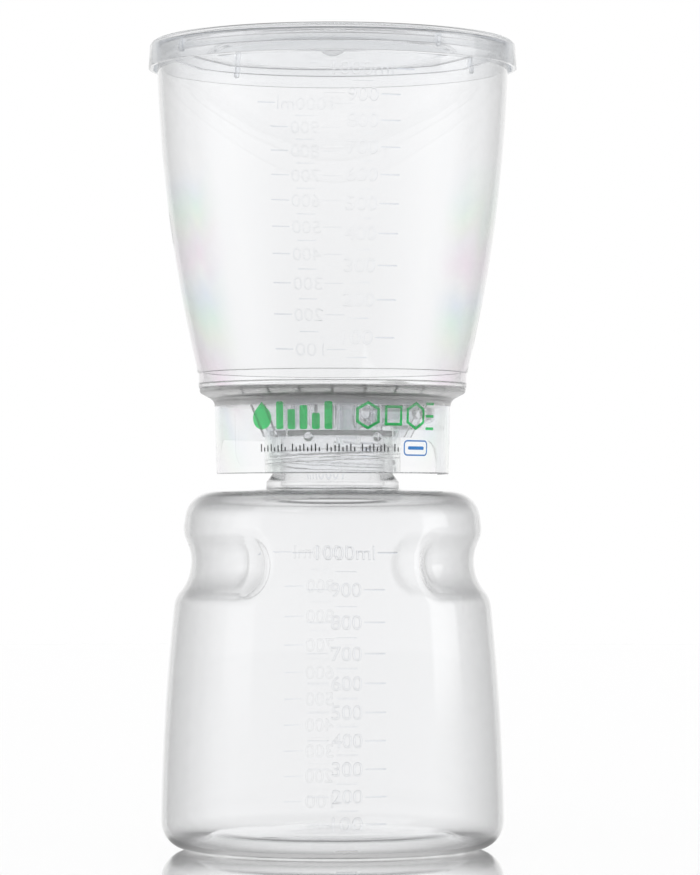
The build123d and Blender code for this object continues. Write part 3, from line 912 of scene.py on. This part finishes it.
def turnBottle():
    n = bottleShape
    wall, top, rise = n["wall"], n["neckTop"], n["shoulderZ"] + n["shoulderRise"]
    outside = bottleSide(n["footR"], 0.0, n["bellyR"], n["shoulderR"], n["shoulderZ"],
                         n["beadR"], n["footRound"], n["shoulderRound"])
    inside = bottleSide(n["footR"] - wall, wall, n["bellyR"] - wall, n["shoulderR"] - wall,
                        n["shoulderZ"] - wall, n["boreR"], n["footRound"] - wall,
                        n["shoulderRound"] - wall)
    (beadFoot, beadHead, neckFoot), (first, last, step) = n["beadRounds"], n["threadRows"]
    rowLow, rowHigh = n["neckBase"] + first, top - last
    neck = [tuple(outside[-1]), (n["beadR"], rise, beadFoot), (n["beadR"], n["beadTop"], beadHead),
            (n["neckR"], n["neckBase"], neckFoot), (n["neckR"], rowLow - step)]
    lip = [(n["neckR"], rowHigh + step), (n["neckR"], top, n["lipRound"]),
           (n["boreR"], top, n["lipInnerRound"]), (n["boreR"], rise - wall, n["boreRound"]),
           tuple(inside[-1])]
    outer = bottleFloor(0.0, n["ringR"], outside[0]) + outside + rounded(neck)[1:]
    outer += [Vector((n["neckR"], z)) for z in np.arange(rowLow, rowHigh, step)]
    outer += rounded(lip)[:-1]
    inner = inside[::-1] + bottleFloor(wall, n["ringR"] + wall, inside[0])[::-1]
    profile = outer + inner

    columns = turning["bottleColumns"]
    spin = np.array([math.tau * k / columns for k in range(columns)])
    rows = np.array([tuple(p) for p in profile])
    ahead, back = np.roll(rows, -1, axis=0), np.roll(rows, 1, axis=0)
    ahead[-1], back[0] = rows[-1], rows[0]
    along = ahead - back
    along /= np.linalg.norm(along, axis=1)[:, None]

    def allRound(out, up):
        out = out[:, None]
        return np.stack([out * np.sin(spin), -out * np.cos(spin),
                         np.repeat(up[:, None], columns, axis=1)], axis=2)

    points, normals = allRound(rows[:, 0], rows[:, 1]), allRound(along[:, 1], -along[:, 0])
    gripped = ((np.abs(rows[:, 1] - n["gripZ"]) < n["gripBand"])
               & (rows[:, 0] > n["beadR"] + n["gripClear"]))
    isOuter = np.arange(len(rows)) < len(outer)
    for band, thick, sign in ((gripped & isOuter, 0.0, 1.0), (gripped & ~isOuter, wall, -1.0)):
        pressed = pressGrips(points[band].reshape(-1, 3), sign * normals[band].reshape(-1, 3),
                             n["gripR"] + thick, n["gripLip"] - thick)
        points[band] = pressed.reshape(-1, columns, 3)
    degrees = np.degrees(spin)
    for i, (r, z) in enumerate(rows[:len(outer)]):
        if rowLow - step / 2 < z < rowHigh + step / 2 and r > (n["boreR"] + n["neckR"]) / 2:
            for k in range(columns):
                points[i, k, :2] *= 1 + threadHeight(degrees[k], z) / n["neckR"]
    shell = turn("bottle_shell", profile, columns, False, bottlePlastic, "bottle",
                 "clear_bottle", places=points)
    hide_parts("receiver_bottle")
    return shell


shells = {"lid": turnLid(), "funnel": turnFunnel(), "receiver_bottle": turnBottle()}
print("shells turned:", {name: len(piece.data.polygons) for name, piece in shells.items()})


# moulded scales

scales = {
    "bottle": {
        "node": "receiver_bottle", "slot": "clear_bottle", "turn": 5.0,
        "floor": 2.2 * mm, "readsOver": 45.0, "gain": 1.01,
        "digitHeight": 4.8 * mm, "digitWidth": 3.45 * mm,
        "tick": 7.2 * mm, "gap": 1.0 * mm, "wideLabel": 20.0 * mm,
        "digitRaised": 0.21 * mm, "tickRaised": 0.06 * mm, "rearShare": 0.55,
    },
    "head": {
        "node": "funnel", "slot": "clear_funnel", "turn": 10.0,
        "floor": 1.7 * mm, "readsOver": 0.0, "gain": 1.026,
        "digitHeight": 4.7 * mm, "digitWidth": 3.55 * mm,
        "tick": 6.9 * mm, "gap": 1.0 * mm, "wideLabel": 21.0 * mm,
        "digitRaised": 0.075 * mm, "tickRaised": 0.025 * mm, "rearShare": 0.6,
    },
}

relief = {
    "clear": 0.015 * mm,     # off the wall, so that two clear solids never overlap
    "digitSlope": 0.20 * mm,     # width of the sloping sides
    "digitBevel": 0.7,       # how much of that width the lettering's own bevel takes
    "digitSteps": 5,
    "tickSlope": 0.12 * mm,
    "tickHeight": 0.5 * mm,
    "tickCuts": 6,
    "smooth": 20.0,          # degrees
    "step": 50,              # ml
    "labelStep": 100,
    "top": 1000,
    "slice": 0.25 * mm,      # of the volume that is added up
    "mlPerCubicMetre": 1e6,
    "spokes": 36,
    "spokeStart": 0.3,       # of the angle between two spokes
    # painted shade by slope: the marks show by their sloping sides alone
    "shades": ((0.02, (1.0, 1.0, 1.0, 1)), (0.06, (0.96, 0.97, 0.98, 1)),
               (0.11, (0.86, 0.88, 0.92, 1)), (0.22, (0.76, 0.78, 0.83, 1)),
               (0.6, (0.62, 0.64, 0.70, 1))),
}


def shadeMarks():
    material, tree = newMaterial("clearMarks", {
        "Transmission Weight": 1.0, "IOR": clear["ior"], "Roughness": 0.0})
    # painted shade on the marks' sloping sides
    feed(tree, {"Base Color": ramp(tree, facing(tree), relief["shades"])})
    return material


def markHeights(walls, look, low):
    # heights at which the vessel's scale reads 50, 100, 150 ... ml
    heights, due = {}, relief["step"]
    reading, z = look["readsOver"], low + look["floor"]
    while due <= relief["top"]:
        spokes = [innerRadius(walls, math.tau * (k + relief["spokeStart"]) / relief["spokes"], z)
                  for k in range(relief["spokes"])]
        area = math.pi * sum(r * r for r in spokes) / len(spokes)
        reading += area * relief["slice"] * relief["mlPerCubicMetre"] * look["gain"]
        z += relief["slice"]
        if reading >= due:
            heights[due] = z
            due += relief["step"]
    return heights


def digitShapes(text, height, width, raised):
    # raised lettering of that height and overall width, centred on the origin, flat underneath
    curve = bpy.data.curves.new("digits", "FONT")
    curve.body = text
    curve.align_x = "CENTER"
    curve.resolution_u = relief["digitSteps"]
    bevel = relief["digitSlope"] / height * relief["digitBevel"]
    curve.bevel_depth = bevel
    curve.bevel_resolution = 1
    curve.offset = -bevel
    typed = bpy.data.objects.new("digits", curve)
    mesh = bpy.data.meshes.new_from_object(typed)
    points = [v.co.copy() for v in mesh.vertices]
    faces = [tuple(p.vertices) for p in mesh.polygons]
    bpy.data.objects.remove(typed)
    bpy.data.curves.remove(curve)
    bpy.data.meshes.remove(mesh)
    lows = [min(p[k] for p in points) for k in range(3)]
    highs = [max(p[k] for p in points) for k in range(3)]
    spans = [high - low for low, high in zip(lows, highs)]
    flat = [((p[0] - lows[0]) / spans[0] * width - width / 2,
             (p[1] - lows[1]) / spans[1] * height - height / 2,
             max(0.0, p[2]) / highs[2] * raised) for p in points]
    return flat, faces


def tickShape(start, length, raised):
    # a bar with sloping edges, cut across so that it can bend round the wall
    cuts, half, slope = relief["tickCuts"], relief["tickHeight"] / 2, relief["tickSlope"]
    section = ((-half, 0.0), (-half + slope, raised), (half - slope, raised), (half, 0.0))
    points = [(start + length * k / cuts, up, out) for k in range(cuts + 1) for up, out in section]
    n = len(section)
    faces = [face for k in range(cuts) for face in quads(k * n, (k + 1) * n, n)]
    return points, faces + [cap(0, n)[::-1], cap(cuts * n, n)]


def layOnWall(shape, walls, azimuth, z, vertices, faces):
    # bend a flat shape round the wall: x runs to the right, y up, and the third value out
    points, polygons = shape
    around = outerRadius(walls, azimuth, z)
    first = len(vertices)
    for along, up, out in points:
        spot = azimuth + along / around
        radius = outerRadius(walls, spot, z + up) + relief["clear"] + out
        vertices.append(spotAt(spot, radius, z + up))
    faces.extend(tuple(first + i for i in polygon) for polygon in polygons)


def mouldScale(body, look, material):
    walls = rayTree(shells[look["node"]])
    heights = markHeights(walls, look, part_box(look["node"])[0].z)
    for side, half, share in (("front", 0, 1.0), ("rear", 180, look["rearShare"])):
        vertices, faces = [], []
        azimuth = math.radians(look["turn"] + half)
        for reading, z in heights.items():
            shapes, starts = [], [-look["tick"] / 2]
            if reading % relief["labelStep"] == 0:
                last = reading == relief["top"]
                label, width = str(reading), 3 * look["digitWidth"]
                if last:
                    label, width = label + "ml", look["wideLabel"]
                shapes.append(digitShapes(label, look["digitHeight"], width,
                                          share * look["digitRaised"]))
                inner = width / 2 + look["gap"]
                starts = [-inner - look["tick"], inner]
            shapes += [tickShape(start, look["tick"], share * look["tickRaised"])
                       for start in starts]
            for shape in shapes:
                layOnWall(shape, walls, azimuth, z, vertices, faces)
        piece = newPiece(f"{body}_scale_{side}", vertices, faces, material, body, look["slot"])
        smoothen(piece, relief["smooth"])


clearMarks = shadeMarks()
for body, look in scales.items():
    mouldScale(body, look, clearMarks)
print("scales moulded")


# membrane and gasket

sheet = {
    "clearance": 0.04 * mm,
    "glow": 0.6 * mm,        # how far light runs in it
    "rings": 60,
    "spokes": 240,
    "puckerTurn": 31.0,      # where the edge stands up
    "puckerWidth": 9.0,
    "puckerRise": 1.7 * mm,
    "puckerRadius": 41.0 * mm,
    "puckerDepth": 2.2 * mm,
}

gasket = {
    "edge": 0.25 * mm,
    "columns": 144,
    "weld": 1e-6,
}


def layMembrane():
    low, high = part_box("membrane")
    radius = high.x - sheet["clearance"]
    base, top = low.z + sheet["clearance"], high.z - sheet["clearance"]
    n, rows = sheet["spokes"], sheet["rings"]
    vertices, faces = [], []

    def pucker(r, azimuth):
        around = (math.degrees(azimuth) - sheet["puckerTurn"]) / sheet["puckerWidth"]
        across = (r - sheet["puckerRadius"]) / sheet["puckerDepth"]
        return sheet["puckerRise"] * math.exp(-around**2 - across**2)

    for level in (top, base):
        for row in range(1, rows + 1):
            r = radius * row / rows
            for k in range(n):
                azimuth = math.tau * k / n
                if azimuth > math.pi:
                    azimuth -= math.tau
                vertices.append(spotAt(azimuth, r, level + pucker(r, azimuth)))
    under, last = rows * n, (rows - 1) * n
    for start in range(0, last, n):
        faces += quads(start, start + n, n) + quads(under + start + n, under + start, n)
    faces += quads(last, under + last, n) + [cap(0, n)[::-1], cap(under, n)]
    # thin enough to glow through
    white = shadeMatt("membraneWhite", "membrane", {
        "Subsurface Weight": 1.0, "Subsurface Radius": (1.0, 1.0, 1.0),
        "Subsurface Scale": sheet["glow"]})
    piece = newPiece("membrane_sheet", vertices, faces, white, "head", "membrane_white")
    smoothen(piece)
    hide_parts("membrane")


def seatGasket():
    low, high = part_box("neck_gasket")
    bore = innerRadius(rayTree(nodes["neck_gasket"]), 0.0, (low.z + high.z) / 2)
    gap, edge = sheet["clearance"], gasket["edge"]
    work = bmesh.new()
    section = [(bore + gap, low.z + gap), (high.x, low.z + gap),
               (high.x, high.z - gap), (bore + gap, high.z - gap)]
    corners = [work.verts.new((r, 0, z)) for r, z in section]
    for i, corner in enumerate(corners):
        work.edges.new((corner, corners[(i + 1) % len(corners)]))
    bmesh.ops.bevel(work, geom=corners, offset=edge, segments=3, affect="VERTICES")
    bmesh.ops.spin(work, geom=work.verts[:] + work.edges[:], axis=(0, 0, 1), cent=(0, 0, 0),
                   steps=gasket["columns"], angle=math.tau, use_merge=True)
    bmesh.ops.remove_doubles(work, verts=work.verts[:], dist=gasket["weld"])
    piece = pieceFrom("gasket_ring", work, shadeMatt("siliconeGasket", "gasket"), "gasket",
                      "gasket_rubber")
    smoothen(piece)
    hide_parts("neck_gasket")


layMembrane()
seatGasket()
print("membrane and gasket in place")


# print field on the skirt

field = {
    "turn": 9.5,
    "halfWidth": 64.0,       # degrees
    "low": 133.2 * mm,
    "high": 156.0 * mm,
    "corner": 5.0 * mm,
    "cornerSteps": 8,
    "cut": 1.2 * mm,         # cuts across that let flat shapes bend
    "flush": 1e-7,
    "thickness": 0.06 * mm,
    "lift": 0.02 * mm,
    "ior": 1.45,
    "colour": (0.985, 0.987, 0.99, 1),
    "grain": (3500.0, 2.0),      # how fine, and its detail
    "roughness": (0.01, 0.05),
    "relief": (0.15, 0.02 * mm),
    "inkLift": 0.01 * mm,
    "inkThickness": 0.03 * mm,
    "inkRoughness": 0.08,
    "inkGrain": (2500.0, 3.0),
    "inkThin": (1.15, 0.01),     # its colour where thin: times, and plus
}


def shadeFrost():
    material, tree = newMaterial("frostedField", {
        "Transmission Weight": 1.0, "IOR": field["ior"], "Base Color": field["colour"]})
    grain = noise(tree, objectPlace(tree), *field["grain"])
    least, most = field["roughness"]
    rough = addNode(tree, "MapRange", {"Value": grain, "To Min": least, "To Max": most})
    feed(tree, {"Roughness": rough.outputs[0], "Normal": bump(tree, grain, *field["relief"])})
    return material


def shadeInk(name, colour, clearness):
    # printed ink, a little speckled, that lets some light through
    material, tree = newMaterial(name, {
        "Transmission Weight": clearness, "IOR": field["ior"],
        "Roughness": field["inkRoughness"]})
    speck = noise(tree, objectPlace(tree), *field["inkGrain"])
    factor, plus = field["inkThin"]
    thin = tuple(min(1.0, c * factor + plus) for c in colour)
    feed(tree, {"Base Color": blendColours(tree, speck, (*colour, 1), (*thin, 1))})
    return material


def flatPatch(shapes):
    # flat shapes, each its points and faces, cut across so that they can bend
    work, step = bmesh.new(), field["cut"]
    for points, faces in shapes:
        corners = [work.verts.new((x, y, 0)) for x, y in points]
        for face in faces:
            work.faces.new([corners[i] for i in face])
    bmesh.ops.triangulate(work, faces=work.faces[:])
    xs = [v.co.x for v in work.verts]
    x = math.ceil(min(xs) / step) * step
    while x < max(xs):
        geometry = work.verts[:] + work.edges[:] + work.faces[:]
        bmesh.ops.bisect_plane(work, geom=geometry, plane_co=(x, 0, 0), plane_no=(1, 0, 0),
                               dist=field["flush"])
        x += step
    return work


skirt = rayTree(nodes["filter_base"])
fieldMiddle = math.radians(field["turn"])
skirtRadius = outerRadius(skirt, fieldMiddle, (field["low"] + field["high"]) / 2)


def wrapPatch(name, shapes, out, thickness, material):
    work = flatPatch(shapes)
    bmesh.ops.solidify(work, geom=work.faces[:], thickness=thickness)
    deepest = min(v.co.z for v in work.verts)
    for vert in work.verts:
        x, y, z = vert.co
        azimuth = fieldMiddle + x / skirtRadius
        radius = outerRadius(skirt, azimuth, y) + out + z - deepest
        vert.co = spotAt(azimuth, radius, y)
    smoothen(pieceFrom(name, work, material, "head", "clear_head"))


def filled(outline):
    return outline, [cap(0, len(outline))]


def ringBetween(outer, inner):
    return outer + inner, quads(0, len(outer), len(outer))


def roundedBox(left, right, low, high, corner):
    outline, steps = [], field["cornerSteps"]
    for x, y, start in ((right - corner, high - corner, 0), (left + corner, high - corner, 90),
                        (left + corner, low + corner, 180), (right - corner, low + corner, 270)):
        for k in range(steps + 1):
            angle = math.radians(start + 90 * k / steps)
            outline.append((x + corner * math.cos(angle), y + corner * math.sin(angle)))
    return outline


def boxRing(left, right, low, high, corner, line):
    outer = roundedBox(left, right, low, high, corner)
    inner = roundedBox(left + line, right - line, low + line, high - line, corner - line)
    return ringBetween(outer, inner)


def polygonRing(x, y, radius, sides, line, start):
    loops = []
    for reach in (radius, radius - line / math.cos(math.pi / sides)):
        angles = [math.radians(start) + math.tau * k / sides for k in range(sides)]
        loops.append([(x + reach * math.cos(angle), y + reach * math.sin(angle))
                      for angle in angles])
    return ringBetween(*loops)


def dropShape(x, low, high, radius, steps):
    # a round foot that runs up to a point
    rise = high - low - radius
    lean = math.asin(radius / rise)
    outline = [(x, high)]
    for k in range(steps + 1):
        angle = math.pi - lean + (math.pi + 2 * lean) * k / steps
        outline.append((x + radius * math.cos(angle), low + radius + radius * math.sin(angle)))
    return filled(outline)


def frostField():
    half = math.radians(field["halfWidth"]) * skirtRadius
    outline = roundedBox(-half, half, field["low"], field["high"], field["corner"])
    wrapPatch("print_field", [filled(outline)], field["lift"], field["thickness"], shadeFrost())


# the print: a drop and bars, open outlines, and a fine row below with a tag at its end
marks = {
    # colour, and how clear the ink is
    "green": ((0.03, 0.70, 0.19), 0.85),
    "dark": ((0.02, 0.02, 0.03), 0.4),
    "blue": ((0.03, 0.27, 0.68), 0.8),
    "low": 145.9 * mm,
    "high": 155.4 * mm,
    "drop": (-32.4 * mm, 3.9 * mm),          # middle and radius
    "dropSteps": 32,
    "bars": ((-26.6, 2.7, 1.0), (-22.3, 2.7, 0.72), (-18.0, 2.7, 0.86), (-13.7, 2.7, 0.58),
             (-9.4, 2.7, 1.0)),              # left edge and width in mm, and share of the height
    "barCorner": 0.6 * mm,
    "outlines": ((5.6, 6, 90.0), (15.2, 4, 45.0), (24.8, 6, 90.0)),   # middle in mm, sides, turn
    "outlineRadius": 4.9 * mm,
    "line": 0.95 * mm,
    "rail": (29.9 * mm, 34.6 * mm),
    "rails": 3,
    "railCorner": 0.3 * mm,
    "rowLow": 138.3 * mm,
    "rowHigh": 140.9 * mm,
    "rowStart": -33.0 * mm,
    "rowEnd": 17.0 * mm,
    "rowPitch": 1.35 * mm,
    "rowTick": 0.45 * mm,
    "rowHeights": (1.0, 0.55, 0.8),          # shares of the row's height, in turn
    "rowGroup": 9,                           # the last tick of each group is left out
    "tag": (19.5 * mm, 31.0 * mm, 136.9 * mm, 142.3 * mm),
    "tagCorner": 1.6 * mm,
    "tagLine": 0.5 * mm,
    "tagInset": (1.9 * mm, 2.1 * mm),        # of the bar inside, sideways and upright
    "tagBarCorner": 0.55 * mm,
}


def printInk(colour, shapes):
    out = field["lift"] + field["thickness"] + field["inkLift"]
    ink = shadeInk(colour + "Ink", *marks[colour])
    wrapPatch("print_" + colour, shapes, out, field["inkThickness"], ink)


def greenShapes():
    low, high, line = marks["low"], marks["high"], marks["line"]
    middle, radius = marks["drop"]
    shapes = [dropShape(middle, low, high, radius, marks["dropSteps"])]
    for left, width, share in marks["bars"]:
        top = low + (high - low) * share
        shapes.append(filled(roundedBox(left * mm, (left + width) * mm, low, top,
                                        marks["barCorner"])))
    for x, sides, start in marks["outlines"]:
        shapes.append(polygonRing(x * mm, (low + high) / 2, marks["outlineRadius"], sides, line,
                                  start))
    for k in range(marks["rails"]):
        y = low + (high - low - line) * k / (marks["rails"] - 1)
        shapes.append(filled(roundedBox(*marks["rail"], y, y + line, marks["railCorner"])))
    return shapes


def darkShapes():
    shapes, low, heights = [], marks["rowLow"], marks["rowHeights"]
    left, k = marks["rowStart"], 0
    while left < marks["rowEnd"]:
        if (k + 1) % marks["rowGroup"]:
            top = low + (marks["rowHigh"] - low) * heights[k % len(heights)]
            right = left + marks["rowTick"]
            shapes.append(filled([(left, low), (right, low), (right, top), (left, top)]))
        left += marks["rowPitch"]
        k += 1
    return shapes


def blueShapes():
    left, right, low, high = marks["tag"]
    aside, up = marks["tagInset"]
    return [boxRing(left, right, low, high, marks["tagCorner"], marks["tagLine"]),
            filled(roundedBox(left + aside, right - aside, low + up, high - up,
                              marks["tagBarCorner"]))]


frostField()
printInk("green", greenShapes())
printInk("dark", darkShapes())
printInk("blue", blueShapes())
print("print laid")
